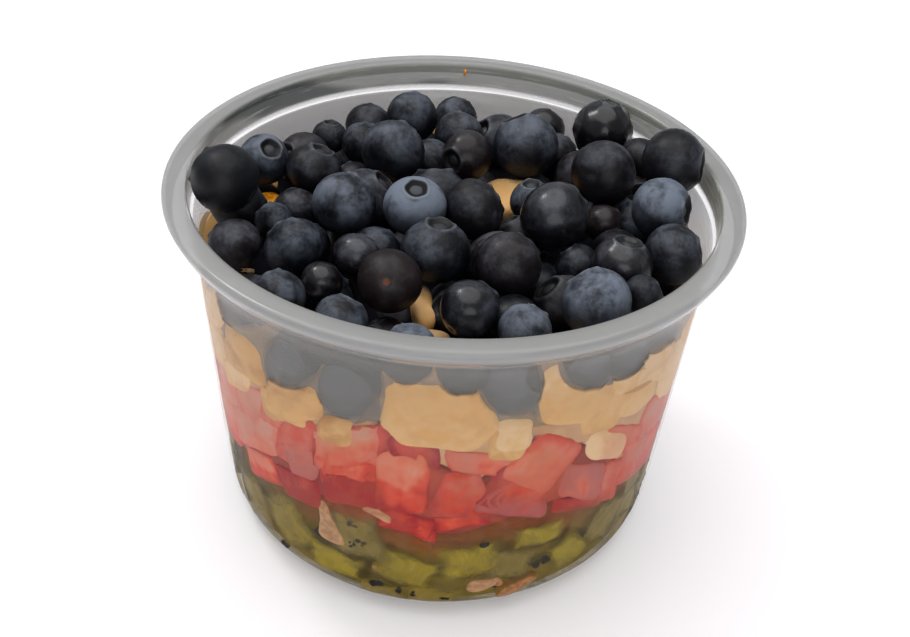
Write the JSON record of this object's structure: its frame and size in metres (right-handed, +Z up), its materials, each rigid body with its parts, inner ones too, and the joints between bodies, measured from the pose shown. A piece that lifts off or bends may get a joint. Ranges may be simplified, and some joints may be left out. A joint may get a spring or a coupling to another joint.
{
  "type": "fruit cup",
  "caption": "Round clear plastic tub of layered fruit: diced kiwi in juice, strawberry and banana under a heap of blueberries.",
  "frame": {"origin": "centre of the tub's base, on the surface it stands on", "axes": "+Z up along the tub's axis, -Y towards the side where the strawberry and banana pieces show best"},
  "size_m": [0.117, 0.117, 0.0878],
  "materials": {
    "clear_plastic": "hazy clear polypropylene, glossy, greyer at the rim",
    "kiwi_in_juice": "wet kiwi pieces with black seeds in olive and reddish juice",
    "strawberry": "cut strawberry, wet, salmon to deep red",
    "banana": "cut banana, cream, matt and a little moist",
    "blueberry": "dark blue-black skin with dusty pale blue bloom"
  },
  "bodies": {
    "root": {"tub": "clear_plastic", "kiwi_layer": "kiwi_in_juice", "strawberry_layer": "strawberry", "banana_layer": "banana", "blueberry_heap": "blueberry"}
  },
  "joints": []
}
